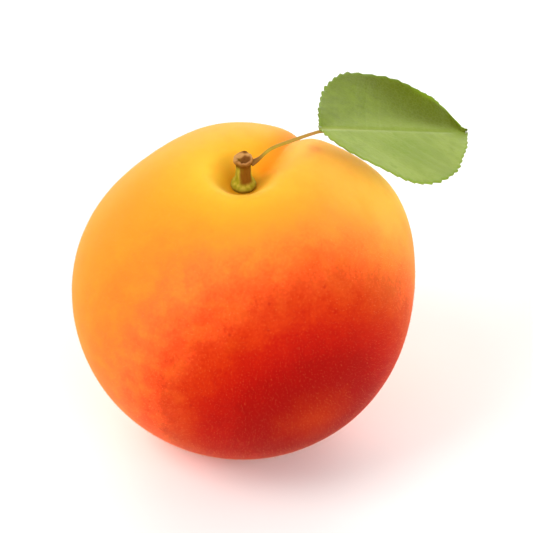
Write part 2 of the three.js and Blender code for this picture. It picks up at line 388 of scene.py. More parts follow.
def furrow(size, from_stem, from_seam, from_axis, upper):
    """How strong the furrow is, from 0 to 1, and how deep it is. It ends where the pit begins."""
    near_stem = upper * from_axis.bell(size["Extra furrow reach"])
    depth = size["Furrow depth"] + size["Extra furrow depth"] * near_stem
    half_width = size["Furrow half width"] + size["Extra furrow half width"] * near_stem
    to_side = (from_axis * from_seam.sin()).size()
    outwards = from_axis * from_seam.cos() / FURROW_START_SOFTNESS
    on_its_side = 1 / (1 + (-outwards).exponent())
    fade = ((FURROW_END - from_stem) / FURROW_FADE).ramp(0.0, 1.0)
    line = (-((to_side / half_width) ** FURROW_SHARPNESS)).exponent()
    strength = line * on_its_side * fade * (1 - upper * pit_share(size, from_axis))
    return strength, strength * depth


def pit_share(size, from_axis):
    """1 in the middle of the pit and 0 outside it."""
    return (-((from_axis / size["Pit radius"]) ** PIT_STEEPNESS)).exponent()


def basin(size, from_axis, from_stem):
    """The pit round the stem, in its wider dip."""
    pit = size["Pit depth"] * pit_share(size, from_axis)
    dip = size["Dip depth"] * from_axis.bell(size["Dip radius"])
    return (pit + dip) * from_stem.cos().most(0.0)


print("the fruit is a round body, plus cheeks, minus a furrow and a basin")

# %% [markdown]
# ## The skin's colours
# The skin is yellow round the stem and orange on its sides, and the cheek that faced the sun is
# blushed red; its deepest reds, low on the fruit, are partly painted shade. So one angle sets most
# of the colour: how far a point is from the middle of the blush. Soft noise bends that angle,
# because a blush has no clean edge, and finer noise breaks it into specks. Over that ground lie a
# yellow crown, a paler shoulder beside the furrow that is partly painted light against the leaf's
# shadow, a tint painted into that shadow to make it more orange, a painted highlight on the lip
# of the pit, painted shade, deeper orange, in the hollows of the furrow and the pit, and small
# dark red freckles, most of them in the blush.

# %% Paint the skin
BLUSH_HEADING = math.radians(26 - 90)
BLUSH_FROM_STEM = math.radians(101)
# degrees from the middle of the blush, and the colour there; the deepest reds, low on the fruit, are
# partly painted shade
BLUSH_AND_SHADE_STOPS = [
    (0, "#a32601"), (16, "#8e0601"), (24, "#930600"), (31, "#a20c01"), (38, "#ae1601"),
    (45, "#bb2a03"), (52, "#c73a11"), (60, "#f05120"), (70, "#f46b2d"), (82, "#f47a28"),
    (100, "#f59029"), (125, "#f09a33"), (180, "#efa341"),
]
# how far noise bends that angle, in degrees
SLOW_WANDER = 6
QUICK_WANDER = 13
SPECK_WANDER = 15
blush_middle = Vector((
    math.sin(BLUSH_FROM_STEM) * math.cos(BLUSH_HEADING),
    math.sin(BLUSH_FROM_STEM) * math.sin(BLUSH_HEADING),
    math.cos(BLUSH_FROM_STEM),
))
# directions to the paler part of the right shoulder, partly painted light against the leaf's
# shadow, and to the tint painted into that shadow to make it more orange
PALE_AND_PAINTED_LIGHT_SIDE = (0.721, 0.275, 0.636)
WARMED_SHADOW_SIDE = (0.571, 0.231, 0.788)
# place in millimetres, radius and strength
RUSSET_SPOTS = [
    ((10.7, 8.05, 20.87), 1.2, 0.9),
    ((10.2, 6.6, 21.3), 1.0, 0.5),
    ((9.6, 5.2, 21.6), 0.9, 0.3),
]
FRECKLE_CORE = 0.45


def angle_between(place, direction):
    """The angle in degrees between the place and a fixed direction."""
    unit = place.vector_math("NORMALIZE", place)
    shared = unit.vector_math("DOT_PRODUCT", unit, direction, output=1)
    return shared.arccosine() * math.degrees(1)


def blushed(place):
    """The skin's ground colour, from deep red in the blush to orange and yellow. Its deepest reds
    are partly painted shade.
    """
    slow = SLOW_WANDER * (speckle(place, 0.055) - 0.5)
    quick = QUICK_WANDER * (speckle(place, 0.3, 3) - 0.5)
    specks = SPECK_WANDER * (speckle(place, 2.0, 2, 0.6) - 0.5)
    angle = angle_between(place, blush_middle) + (slow + quick) + specks
    stops = [(degrees / 180, paint(card)) for degrees, card in BLUSH_AND_SHADE_STOPS]
    return angle.node("ShaderNodeValToRGB", {"stops": stops}, {0: angle / 180})


def freckles(place, spacing, radius, share):
    """Round spots of a random few cells, 1 in the spot and 0 outside."""
    cells = {"Vector": place, "Scale": 1 / spacing, "Randomness": 1.0}
    near = place.node("ShaderNodeTexVoronoi", inputs=cells)
    chance = Wire(place.tree, near.socket.node.outputs["Color"]).parts()[0]
    spot = 1 - (near * spacing).ramp(radius * FRECKLE_CORE, radius)
    return spot * (chance < share)


def russet(place):
    """A faint rough mark high on the right shoulder, with a weaker streak towards the stem."""
    wobble = 0.9 * (speckle(place, 0.9, 3) - 0.5)
    total = 0
    for middle, radius, strength in RUSSET_SPOTS:
        away = place.vector_math("DISTANCE", place, middle, output=1)
        total = total + strength * (away + wobble).bell(radius)
    return total


print(f"the middle of the blush points to {tuple(round(part, 2) for part in blush_middle)}")

# %% Tints of the skin
# reaches in degrees
CROWN_REACH = 25.2
PALE_AND_PAINTED_LIGHT_REACH = 26.4
WARMED_SHADOW_REACH = 15
LIP_HIGHLIGHT_REACH = 9.8
RED_SIDE_EDGE = (35, 80)


def named(wires, name):
    """A value stored on the mesh under this name."""
    return wires.node("ShaderNodeAttribute", {"attribute_name": name}, output=2)


def shoulder_tints(place, from_stem):
    """The yellow crown round the stem, a paler right shoulder that is partly painted light against
    the leaf's shadow, and a tint painted into that shadow to make it more orange.
    """
    crown = (from_stem + 10 * (speckle(place, 0.12) - 0.5)).bell(CROWN_REACH)
    pale = (angle_between(place, PALE_AND_PAINTED_LIGHT_SIDE) + 12 * (speckle(place, 0.2) - 0.5)).bell(PALE_AND_PAINTED_LIGHT_REACH)
    warmed_shadow = angle_between(place, WARMED_SHADOW_SIDE).bell(WARMED_SHADOW_REACH)
    return [
        (crown, 0.72, paint("#ecc927")),
        # paler shoulder: partly its own colour, partly painted light against the leaf's shadow
        (pale, 0.65, paint("#fde55e")),
        # a tint painted into the leaf's shadow to make it more orange
        (warmed_shadow, 0.55, paint("#ffb04c")),
    ]


def hollow_light_and_shade(wires, from_stem):
    """A painted highlight on the pale lip of the pit, and painted shade in the valley of the furrow,
    along the furrow's line and in the pit.
    """
    pit = named(wires, "pit")
    valley = named(wires, "valley")
    lip = from_stem.bell(LIP_HIGHLIGHT_REACH) * (1 - pit) * (1 - valley)
    return [
        # painted highlight on the lip of the pit
        (lip, 0.5, paint("#ffe478")),
        # painted shade in the valley, along the furrow's line and in the pit
        (valley, 0.85, paint("#ee8c04")),
        (named(wires, "line"), 0.3, paint("#e87a10")),
        (pit ** 1.6, 0.8, paint("#c67c02")),
    ]


def marks(place):
    """The rough mark, blotches away from the blush, freckles in it, and a few larger ones."""
    red_side = 1 - angle_between(place, blush_middle).ramp(*RED_SIDE_EDGE)
    blotches = speckle(place, 0.32, 4, 0.6).ramp(0.42, 0.7) * (1 - red_side)
    return [
        (russet(place), 0.6, paint("#e2783c")),
        (blotches, 0.25, paint("#f79a28")),
        (freckles(place, 1.9, 0.32, 0.25) * red_side, 0.5, paint("#970e04")),
        (freckles(place, 5.0, 0.45, 0.3), 0.08 + 0.3 * red_side, paint("#a01204")),
    ]


print(f"the yellow crown reaches {CROWN_REACH} degrees from the stem")

# %% Finish of the skin
SKIN = {
    "IOR": 1.4,
    "Specular IOR Level": 0.06,
    "Subsurface Weight": 0.3,
    "Subsurface Radius": (1.0, 0.35, 0.1),
    "Subsurface Scale": 0.6 * MM,
    "Sheen Weight": 0.08,
    "Sheen Roughness": 0.3,
    "Sheen Tint": paint("#fff0b4"),
}
SKIN_GRAIN_DEPTH = 0.02 * MM


def skin_finish(wires):
    place = upright_place(wires)
    from_stem = angle_between(place, (0, 0, 1))
    colour = covered(blushed(place), shoulder_tints(place, from_stem))
    colour = covered(colour, hollow_light_and_shade(wires, from_stem))
    colour = covered(colour, marks(place))
    roughness = 0.5 + 0.16 * speckle(place, 0.7)
    normal = bumps(speckle(place, 7.0, 3, 0.7), SKIN_GRAIN_DEPTH, 0.35)
    return {"Base Color": colour, "Roughness": roughness, "Normal": normal}


print(f"the blush runs through {len(BLUSH_AND_SHADE_STOPS)} colours")

# %% Grow the skin
FLAT_SOFTNESS = 0.25 * MM
VALLEY_REACH = 0.75
VALLEY_SHARPNESS = 0.6


def skin_tree(material):
    size = new_tree("Skin", FRUIT_SIZES)
    wires = size["Geometry"]
    ball_inputs = {"Radius": 1.0, "Subdivisions": BALL_SUBDIVISIONS}
    ball = wires.node("GeometryNodeMeshIcoSphere", inputs=ball_inputs)
    direction = wires.node("GeometryNodeInputPosition")
    x, y, z = direction.parts()
    turn = y.math("ARCTAN2", y, x)
    from_seam = turn - GATHER_TO_SEAM * turn.sin()
    from_stem = math.pi * (z.arccosine() / math.pi) ** GATHER_TO_STEM
    body = round_body(size, from_stem, from_seam)
    from_axis = body * from_stem.sin()
    upper = from_stem < math.pi / 2
    bent = from_seam + FURROW_BEND * upper * from_axis.bell(size["Furrow bend reach"])
    line, depth = furrow(size, from_stem, bent, from_axis, upper)
    uneven = size["Unevenness"] * (speckle(direction, 3.2, 2) - 0.5) * 2
    radius = body + cheeks(from_stem, from_seam) - depth
    radius = radius - upper * basin(size, from_axis, from_stem) + uneven
    placed = on_spot(size, radius, from_stem, from_seam + SEAM_HEADING)
    # the furrow's valley near the stem, where its painted shade goes
    near_stem = from_axis.bell(VALLEY_REACH * size["Extra furrow reach"])
    valley = near_stem * upper * (line ** VALLEY_SHARPNESS)
    skin = stored(ball, "line", line)
    skin = stored(skin, "valley", valley)
    skin = stored(skin, "pit", upper * pit_share(size, from_axis))
    skin = skin.node("GeometryNodeSetPosition", inputs={"Geometry": skin, "Position": placed})
    return end_tree(skin, material)


def stored(geometry, name, value):
    """Keeps a value on the mesh's points under a name."""
    inputs = {"Geometry": geometry, "Name": name, "Value": value}
    settings = {"data_type": "FLOAT", "domain": "POINT"}
    return geometry.node("GeometryNodeStoreNamedAttribute", settings, inputs)


def on_spot(size, radius, from_stem, heading):
    """Leans the stem axis forward and presses the underside flat where the fruit rests."""
    x = radius * from_stem.sin() * heading.cos()
    y = radius * from_stem.sin() * heading.sin()
    z = radius * from_stem.cos()
    leaned_y = y * math.cos(STEM_LEAN) - z * math.sin(STEM_LEAN)
    leaned_z = z * math.cos(STEM_LEAN) + y * math.sin(STEM_LEAN)
    above_floor = leaned_z + size["Rest height"]
    pressed = above_floor.math("SMOOTH_MAX", above_floor, 0.0, FLAT_SOFTNESS)
    return x.vector(x, leaned_y, pressed)


skin = grow("fruit_skin", skin_tree(make_material("skin", skin_finish, SKIN)), FRUIT_SIZES)
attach(skin, "root")
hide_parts("fruit")

# %% [markdown]
# ## Down
# Short pale hairs cover the skin and soften its rim. Hair curves would be lost when the piece is
# made a mesh, so a Geometry Nodes tree scatters thin three-sided cones over the skin instead. They
# stand at uneven angles. None grow in the pit or underneath, where the fruit rests.
# A map laid out by true size has no room for such thin pieces, so each hair gets a small triangle
# of its own on a map named OFBake.

# %% Grow the down
DOWN_SIZES = {
    "Hairs to a square metre": 5.4 / MM ** 2,
    "Hair length": 0.26 * MM,
    "Hair radius": 0.007 * MM,
    "Bare below": 1.0 * MM,
}
DOWN = {"Roughness": 0.6, "Specular IOR Level": 0.2}
HAIR_TILT = math.radians(40)
PIT_EDGE = 0.1
HAIR_SIDES = 3
HAIR_STRETCH = (0.5, 1.3)
SPREAD_SEED = 3
TILT_SEED = 5
LENGTH_SEED = 6


def down_tree(material):
    """Scatters hairs over the skin, tilted and stretched at random."""
    size = new_tree("Down", DOWN_SIZES)
    skin = size["Geometry"]
    height = skin.node("GeometryNodeInputPosition").parts()[2]
    pit = skin.node("GeometryNodeInputNamedAttribute", {"data_type": "FLOAT"}, {"Name": "pit"})
    grows = (height > size["Bare below"]) * (pit < PIT_EDGE)
    spread = {"Mesh": skin, "Selection": grows, 4: size["Hairs to a square metre"]}
    spread[6] = SPREAD_SEED
    roots = skin.node("GeometryNodeDistributePointsOnFaces", inputs=spread)
    upright = Wire(skin.tree, roots.socket.node.outputs["Rotation"])
    tilts = {0: (-HAIR_TILT, -HAIR_TILT, 0), 1: (HAIR_TILT, HAIR_TILT, 0), 8: TILT_SEED}
    tilt = skin.node("FunctionNodeRandomValue", {"data_type": "FLOAT_VECTOR"}, tilts)
    turned = {"Rotation": upright, "Rotate By": tilt}
    rotation = upright.node("FunctionNodeRotateRotation", {"rotation_space": "LOCAL"}, turned)
    lengths = {2: HAIR_STRETCH[0], 3: HAIR_STRETCH[1], 8: LENGTH_SEED}
    scale = skin.node("FunctionNodeRandomValue", inputs=lengths, output=1)
    cone = {
        "Vertices": HAIR_SIDES,
        "Radius Top": 0.0,
        "Radius Bottom": size["Hair radius"],
        "Depth": size["Hair length"],
    }
    hair = skin.node("GeometryNodeMeshCone", inputs=cone)
    placed = {"Points": roots, "Instance": hair, "Rotation": rotation, "Scale": scale}
    return end_tree(roots.node("GeometryNodeInstanceOnPoints", inputs=placed), material)


def down_finish(wires):
    patches = speckle(upright_place(wires), 0.5, 3)
    return {"Base Color": patches.mix(paint("#f8b672"), paint("#e58c52"))}


print("the down is ready to grow")

# %% Lay the hairs out on a map
# a hair is a triangle for each side and one for its foot, with three corners each
HAIR_CORNERS = 3 * (HAIR_SIDES + 1)
CELL_CORNERS = ((0.1, 0.1), (0.9, 0.1), (0.1, 0.9))


def lay_out_hairs(mesh):
    """Gives each hair a triangle in a cell of its own on the map."""
    side = math.ceil(math.sqrt(len(mesh.loops) / HAIR_CORNERS))
    places = []
    for corner in range(len(mesh.loops)):
        row, column = divmod(corner // HAIR_CORNERS, side)
        right, up = CELL_CORNERS[corner % 3]
        places += [(column + right) / side, (row + up) / side]
    mesh.uv_layers.new(name="OFBake").uv.foreach_set("vector", places)
    print(f"the map has {side} by {side} cells")


down_recipe = down_tree(make_material("down", down_finish, DOWN))
down = grow("fruit_down", down_recipe, DOWN_SIZES, skin.data)
lay_out_hairs(down.data)
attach(down, "root")
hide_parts("fruit")

# %% [markdown]
# ## The stem
# The stem stub is a short woody twig. It flares where it grows out of the pit, narrows at its neck,
# and widens again to the cup where it came off the branch, with a knob at the back of its rim. It
# could be shaped from a cylinder by hand. Turning an outline round the stem axis gives that form
# from a few sizes, and small offsets to every point make the ridges and cracks of the bark.

# %% Outline of the stem
# height above the middle of the fruit and radius, in millimetres
STEM_OUTLINE = [
    (18.2, 1.4), (19.4, 1.55), (20.3, 1.7), (20.8, 1.85), (21.15, 1.7), (21.7, 1.34),
    (22.4, 1.16), (23.2, 1.08), (24.2, 1.08), (24.7, 1.16), (25.0, 1.32), (25.2, 1.42),
    (25.4, 1.42), (25.57, 1.3), (25.55, 1.06), (25.35, 0.82), (25.15, 0.58), (25.1, 0.34),
    (25.15, 0.14),
]
STEM_STEPS = 8
STEM_SIDES = 72
STEM_SHIFT = 0.3
leaning = Matrix.Translation(MIDDLE) @ Matrix.Rotation(STEM_LEAN, 4, "X") @ Matrix.Scale(MM, 4)


def smooth_line(points, steps):
    """A line through all the points that turns evenly, with this many steps between each two."""
    ends = [2 * points[0] - points[1], *points, 2 * points[-1] - points[-2]]
    line = []
    for before, start, end, after in zip(ends, ends[1:], ends[2:], ends[3:]):
        for step in range(steps):
            t = step / steps
            curve = (2 * before - 5 * start + 4 * end - after) * t * t
            curve += (3 * start - before - 3 * end + after) * t ** 3
            line.append(start + ((end - before) * t + curve) / 2)
    return [*line, points[-1]]


outline = smooth_line([Vector(point) for point in STEM_OUTLINE], STEM_STEPS)
print(f"the stem's outline has {len(outline)} points")

# %% Turn and roughen the stem
STEM_RIDGES = 7
RIDGE_SHARE = 0.01
# how deep cracks are, in millimetres, and how close together
BARK_CRACKS = [(0.07, 2.6), (0.035, 7)]
CRACK_STRETCH = 0.22
SMOOTH_RADIUS = 0.9
CUP_FOOT = 24.5
RAGGED_HEIGHT = 0.3
KNOB_HEADING = math.radians(80)
KNOB_HALF_ANGLE = math.radians(24)
KNOB_HEIGHT = 0.3


def bark_offset(turn, height, radius):
    """How far the bark stands out at a place, in millimetres. It is smoother inside the cup."""
    ridge = RIDGE_SHARE * radius * math.cos(STEM_RIDGES * turn)
    around = Vector((math.cos(turn), math.sin(turn), height * CRACK_STRETCH))
    cracks = sum(depth * noise.noise(around * closeness) for depth, closeness in BARK_CRACKS)
    return (ridge + cracks) * min(1, radius / SMOOTH_RADIUS)


def stem_point(height, radius, turn):
    """A point of the stem, with the bark's offset, the ragged rim of the cup and its knob."""
    radius += bark_offset(turn, height, radius)
    ragged = noise.noise(Vector((2 * math.cos(turn), 2 * math.sin(turn), 5)))
    knob = math.exp(-(math.remainder(turn - KNOB_HEADING, 2 * math.pi) / KNOB_HALF_ANGLE) ** 2)
    lifted = min(1, max(0, height - CUP_FOOT))
    height += lifted * (RAGGED_HEIGHT * ragged + KNOB_HEIGHT * knob)
    return leaning @ Vector((radius * math.cos(turn) + STEM_SHIFT, radius * math.sin(turn), height))


def closed_tube(rings, start, end):
    """A smooth mesh of rings of points, closed to a point at both ends."""
    sides = len(rings[0])
    last = 1 + len(rings) * sides
    faces = []
    for side in range(sides):
        beside = (side + 1) % sides
        faces.append((0, 1 + beside, 1 + side))
        faces.append((last, last - sides + side, last - sides + beside))
        for low in range(1, last - sides, sides):
            faces.append((low + side, low + beside, low + sides + beside, low + sides + side))
    mesh = bpy.data.meshes.new("tube")
    mesh.from_pydata([start, *(point for ring in rings for point in ring), end], [], faces)
    mesh.shade_smooth()
    return mesh


turns = [2 * math.pi * side / STEM_SIDES for side in range(STEM_SIDES)]
stem_rings = [[stem_point(height, radius, turn) for turn in turns] for height, radius in outline]
stem_foot = leaning @ Vector((STEM_SHIFT, 0, outline[0][0]))
stem_scar = leaning @ Vector((STEM_SHIFT, 0, outline[-1][0]))
stem_mesh = closed_tube(stem_rings, stem_foot, stem_scar)
print(f"the stem has {len(stem_mesh.vertices)} points")

# %% [markdown]
# ## Bark
# The young wood is olive green low down and on its left and back, and brown on the side that faces
# front and right. The neck under the cup is brown too, partly painted shade. The rim of the cup is
# dry and tan, and the scar inside it and the knob are dark. The heights where these meet follow the
# outline above, so the tints lie on its forms. The noise is stretched along the stem, because bark
# cracks that way.

# %% Finish of the bark
BARK_BROWN_HEADING = math.radians(-62)
BARK_STRETCH = 0.3
BARK_CRACK_DEPTH = 0.12 * MM
BARK = {"IOR": 1.45, "Specular IOR Level": 0.08}
# heights in millimetres between which one part of the stem turns to the next
FOOT_HEIGHTS = (20.7, 21.5)
BROWN_SIDE_HEIGHTS = (21.2, 22.0)
NECK_HEIGHTS = (23.8, 24.8)
SCAR_HEIGHTS = (24.7, 24.9)
RIM_HEIGHTS = (25.1, 25.4)
KNOB_HEIGHTS = (25.6, 25.85)
# distances in millimetres from the middle of the scar and from the stem axis
SCAR_RADII = (0.58, 0.88)
SCAR_SHIFT = 0.3
RIM_RADII = (1.25, 1.4)


def wood_tints(z, towards, streaks):
    """Brown on the side that faces front and right, and round the neck, partly painted shade under
    the cup.
    """
    brown_side = (towards + 0.9 * (streaks - 0.5)).ramp(0.4, 0.9) * z.ramp(*BROWN_SIDE_HEIGHTS)
    return [
        (brown_side, 0.92, paint("#743c03")),
        # brown round the neck, partly painted shade under the cup
        (z.ramp(*NECK_HEIGHTS), 0.9, paint("#6e4004")),
    ]


def cup_tints(place, x, y, z, from_axis, towards):
    """The tan rim of the cup, the dark scar in it and the dark knob."""
    outside = from_axis.ramp(*RIM_RADII) * towards.ramp(-0.3, 0.5)
    rim = (z + 0.4 * (speckle(place, 1.3) - 0.5)).ramp(*RIM_HEIGHTS) * (1 - 0.8 * outside)
    from_scar = ((x - SCAR_SHIFT) * (x - SCAR_SHIFT) + y * y) ** 0.5
    scar = (1 - from_scar.ramp(*SCAR_RADII)) * z.ramp(*SCAR_HEIGHTS)
    return [
        (rim, 1.0, towards.ramp(-0.4, 0.7).mix(paint("#bf8c50"), paint("#b0763e"))),
        (scar, 1.0, paint("#7a4a1c")),
        (z.ramp(*KNOB_HEIGHTS), 1.0, paint("#6a4012")),
    ]


def bark_finish(wires):
    place = upright_place(wires)
    x, y, z = place.parts()
    x = x - STEM_SHIFT
    from_axis = (x * x + y * y) ** 0.5
    towards = x * math.cos(BARK_BROWN_HEADING) + y * math.sin(BARK_BROWN_HEADING)
    towards = towards / from_axis
    along = {"Vector": place, "Scale": (1, 1, BARK_STRETCH)}
    along = place.node("ShaderNodeMapping", inputs=along)
    streaks = speckle(along, 2.2, 4, 0.65)
    cracks = speckle(along, 5.0, 4, 0.7)
    colour = streaks.ramp(0.35, 0.65).mix(paint("#989218"), paint("#bcaa3a"))
    colour = covered(colour, wood_tints(z, towards, streaks))
    colour = covered(colour, cup_tints(place, x, y, z, from_axis, towards))
    foot = (1 - z.ramp(*FOOT_HEIGHTS), 0.65, paint("#725a10"))
    dark_cracks = (cracks.ramp(0.55, 0.75), 0.35, paint("#3a230c"))
    colour = covered(colour, [foot, dark_cracks])
    roughness = 0.6 + 0.25 * streaks
    normal = bumps(cracks, BARK_CRACK_DEPTH, 0.8)
    return {"Base Color": colour, "Roughness": roughness, "Normal": normal}


stem_mesh.materials.append(make_material("bark", bark_finish, BARK))
stem = keep("stem_stub", stem_mesh)
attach(stem, "root")
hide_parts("stem")

# %% [markdown]
# ## The form of the leaf
# The blade starts as a flat grid. Each point moves to its place in two rounded halves, with small
# teeth at the edge that lean towards the tip. The far half turns up at its edge, and the blade
# swells a little between the side veins, so that each vein lies in a groove. A picture of a leaf on
# a flat sheet would be quicker, but flat from the side.

# %% Sizes of the blade
BLADE_STATIONS = 330
BLADE_LANES = 111
BLADE_SIZES = {
    "Length": 30.2 * MM,
    "Far width": 12.8 * MM,
    "Near width": 12.1 * MM,
    "End half width": 0.3 * MM,
    "Tip half width": 0.9 * MM,
    "Corner fullness": 2.3 * MM,
    "Arch": 0.1 * MM,
    "Far edge lift": 1.5 * MM,
    "Edge wave": 0.22 * MM,
    "Tooth height": 0.36 * MM,
    "Vein spacing": 3.1 * MM,
    "Vein half width": 0.17 * MM,
    "Vein groove": 0.02 * MM,
    "Midrib groove": 0.16 * MM,
    "Swelling": 0.025 * MM,
}
BLADE_BASE = MIDDLE + Vector((11.4, 4.6, 25.7)) * MM
BLADE_ALONG = Vector((0.722, 0.5595, -0.4071)).normalized()
BLADE_ACROSS = Vector((-0.5328, 0.8249, 0.1888)).normalized()
BLADE_UP = BLADE_ALONG.cross(BLADE_ACROSS)
BLADE_SLOPE = math.degrees(-math.asin(BLADE_ALONG.z))
print(f"the blade slopes down by {BLADE_SLOPE:.0f} degrees along its length")

# %% Outline of the blade
# where each half is widest, and how full it is
NEAR_WIDEST = 0.79
FAR_WIDEST = 1.07
NEAR_FULLNESS = 0.88
FAR_FULLNESS = 0.84
# parts of the blade's length
CORNER_PLACE = 0.96
CORNER_REACH = 0.09
BLUNT_END = (0.959, 0.971)
TIP_LENGTH = 0.05


def by_half(is_far, near, far):
    """One value on the near half of the blade and another on the far half."""
    return near + (far - near) * is_far


def half_width(size, along, is_far):
    """Half the blade's width at a part of its length, on its far or its near half."""
    width = by_half(is_far, size["Near width"], size["Far width"])
    widest = by_half(is_far, NEAR_WIDEST, FAR_WIDEST)
    fullness = by_half(is_far, NEAR_FULLNESS, FAR_FULLNESS)
    swell = (math.pi * along ** widest).sin().most(0.0) ** fullness
    blunt = 1 - is_far * along.ramp(*BLUNT_END)
    corner = size["Corner fullness"] * is_far * (along - CORNER_PLACE).bell(CORNER_REACH)
    narrowing = ((1 - along) / TIP_LENGTH).least(1.0) ** 0.8
    tip = size["Tip half width"] * narrowing * (along > 0.5)
    return ((width * swell + corner) * blunt).most(tip).most(size["End half width"])


print(f"the blade is {BLADE_SIZES['Length'] / MM:.1f} mm long")

# %% Teeth and veins
# a drift is a part of a tooth or of the room between two veins
BLADE_TEETH = 27
TOOTH_DRIFT = 0.28
TOOTH_DRIFT_RATE = 17
TOOTH_POINT = 0.75
TOOTH_VARIETY = 0.3
TOOTH_VARIETY_RATE = 41
VEIN_SLANT = 0.62
VEIN_BEND = 14
FAR_VEIN_SHIFT = 0.4
VEIN_DRIFT = 0.22
VEIN_DRIFT_RATE = 1.9
SQUARE_TO_VEIN = 0.8
HOLLOW_WIDTHS = 5


def tooth(size, station):
    """How far the edge stands out: a slow rise to each point and a quick fall after it."""
    count = station * BLADE_TEETH + TOOTH_DRIFT * (TOOTH_DRIFT_RATE * station).sin()
    part = count.fraction()
    sharp = (part / TOOTH_POINT).least((1 - part) / (1 - TOOTH_POINT))
    sharp = sharp * (1 + TOOTH_VARIETY * (TOOTH_VARIETY_RATE * station).sin())
    return size["Tooth height"] * sharp * (math.pi * station).sin().most(0.0) ** 0.5


def side_veins(size, x, out, is_far):
    """The line of each side vein, and the wider hollow beside it. They bend towards the tip."""
    start = x - VEIN_SLANT * out - VEIN_BEND * out * out
    start = start / size["Vein spacing"] + FAR_VEIN_SHIFT * is_far
    start = start + VEIN_DRIFT * (VEIN_DRIFT_RATE * start).sin()
    off = (start.fraction() - 0.5) * size["Vein spacing"] * SQUARE_TO_VEIN
    return off.bell(size["Vein half width"]), off.bell(HOLLOW_WIDTHS * size["Vein half width"])


print(f"each edge has {BLADE_TEETH} teeth")

# %% Grow the blade
EDGE_WAVES = 2.6
WAVE_SHIFT = 1.2


def curl(size, along, side, is_far, out):
    """How the blade arches along its middle, turns up at its far edge and waves at both edges."""
    far_lift = size["Far edge lift"] * (is_far * out) ** 1.6 * along.ramp(0.3, 0.8)
    far_lift = far_lift * (1 - 0.5 * along.ramp(0.88, 1.0))
    turn = 2 * math.pi * EDGE_WAVES * along + WAVE_SHIFT * side
    wave = size["Edge wave"] * turn.sin() * out ** 3
    return size["Arch"] * (math.pi * along).sin() + far_lift + wave


def in_blade_plane(x, y, lift):
    """The place x along, y across and lift above the plane of the blade."""
    axes = zip(BLADE_BASE, BLADE_ALONG, BLADE_ACROSS, BLADE_UP)
    return x.vector(*(base + x * to_x + y * to_y + lift * to_up for base, to_x, to_y, to_up in axes))


def blade_tree(material):
    """Moves a flat grid to the blade. Stations run along it and lanes lie beside each other."""
    size = new_tree("Blade", BLADE_SIZES)
    wires = size["Geometry"]
    points = {"Vertices X": BLADE_STATIONS, "Vertices Y": BLADE_LANES}
    grid = wires.node("GeometryNodeMeshGrid", inputs={"Size X": 1.0, "Size Y": 2.0, **points})
    station, lane, _ = wires.node("GeometryNodeInputPosition").parts()
    station = station + 0.5
    is_far = lane > 0.0
    side = 2 * is_far - 1
    out = lane.size()
    along = (1 - (math.pi * station).cos()) / 2
    notch = tooth(size, station) * out ** 6
    x = size["Length"] * along - notch * (math.pi * station).cos()
    y = half_width(size, along, is_far) * lane + side * notch * (math.pi * station).sin()
    vein, hollow = side_veins(size, x, y.size(), is_far)
    fade = (1 - out.ramp(0.75, 1.0)) * (1 - along.ramp(0.86, 0.97)) * along.ramp(0.0, 0.08)
    midrib = y.bell(2 * size["Vein half width"]) * (1 - along.ramp(0.8, 1.0))
    relief = size["Swelling"] * (1 - hollow) * out.ramp(0.02, 0.25) - size["Vein groove"] * vein
    lift = curl(size, along, side, is_far, out) + fade * relief
    placed = in_blade_plane(x, y, lift - size["Midrib groove"] * midrib)
    values = {"vein": vein * fade, "midrib": midrib, "along": along, "lane": lane}
    for name, value in values.items():
        grid = stored(grid, name, value)
    blade = grid.node("GeometryNodeSetPosition", inputs={"Geometry": grid, "Position": placed})
    return end_tree(blade, material)


print(f"the blade has {BLADE_LANES} lanes")

# %% [markdown]
# ## Leaf green
# The near half of the blade catches the light and is pale green. The far half gets painted shade
# where its edge turns up, darker still towards the tip, behind a bright rim. The veins are paler,
# the net between them is fine and faint, and the underside is dull and pale. The tints read values
# that the blade's tree kept on its points, such as how far along and how far out each one is, so
# they follow the blade however it bends.

# %% Finish of the leaf
LEAF = {
    "IOR": 1.42,
    "Specular IOR Level": 0.08,
    "Subsurface Weight": 0.2,
    "Subsurface Radius": (0.6, 1.0, 0.2),
    "Subsurface Scale": 0.5 * MM,
}
# cells of the net in a millimetre, and how deep its lines are
NET_DENSITY = 1.5
NET_DEPTH = 0.05 * MM


def broad_tints(along, lane, cloud, mottle):
    """A dull patch on the near half, mottling, painted shade on the far half, and darker painted
    shade at its end.
    """
    dull = (along - 0.48).bell(0.19) * (lane + 0.3).bell(0.32) * mottle.ramp(0.1, 0.7)
    far = (lane + 0.25 * (cloud - 0.5)).ramp(-0.12, 0.5)
    shade = along + 0.3 * (cloud - 0.5) + 0.3 * lane
    dark = (lane + 0.15 * (mottle - 0.5)).ramp(-0.06, 0.32) * shade.ramp(0.5, 0.94)
    return [
        (dull, 0.8, paint("#728827")),
        (mottle.ramp(0.52, 0.74), 0.5, paint("#758b32")),
        # painted shade on the far half, where its edge turns up
        (far, 1.0, mottle.ramp(0.2, 0.8).mix(paint("#607013"), paint("#738523"))),
        # darker painted shade towards the far half's tip
        (dark, 0.95, paint("#58630c")),
    ]


def fine_tints(wires, along, lane, from_net):
    """The midrib, the veins, the net between them, the rim, and a brighter green at its far corner.
    """
    midrib = named(wires, "midrib") * (1 - along.ramp(0.0, 0.5))
    near = 1 - lane.ramp(-0.1, 0.3)
    return [
        (midrib, 0.6, paint("#a5ac5e")),
        (named(wires, "vein"), 0.03 + 0.04 * near, paint("#a4b55e")),
        (1 - from_net.ramp(0.0, 0.12), 0.06, paint("#a7ba68")),
        (lane.size().ramp(0.93, 1.0), 0.5, paint("#728b2a")),
        (lane.ramp(0.8, 1.0) * along.ramp(0.75, 0.9), 0.85, paint("#799413")),
    ]


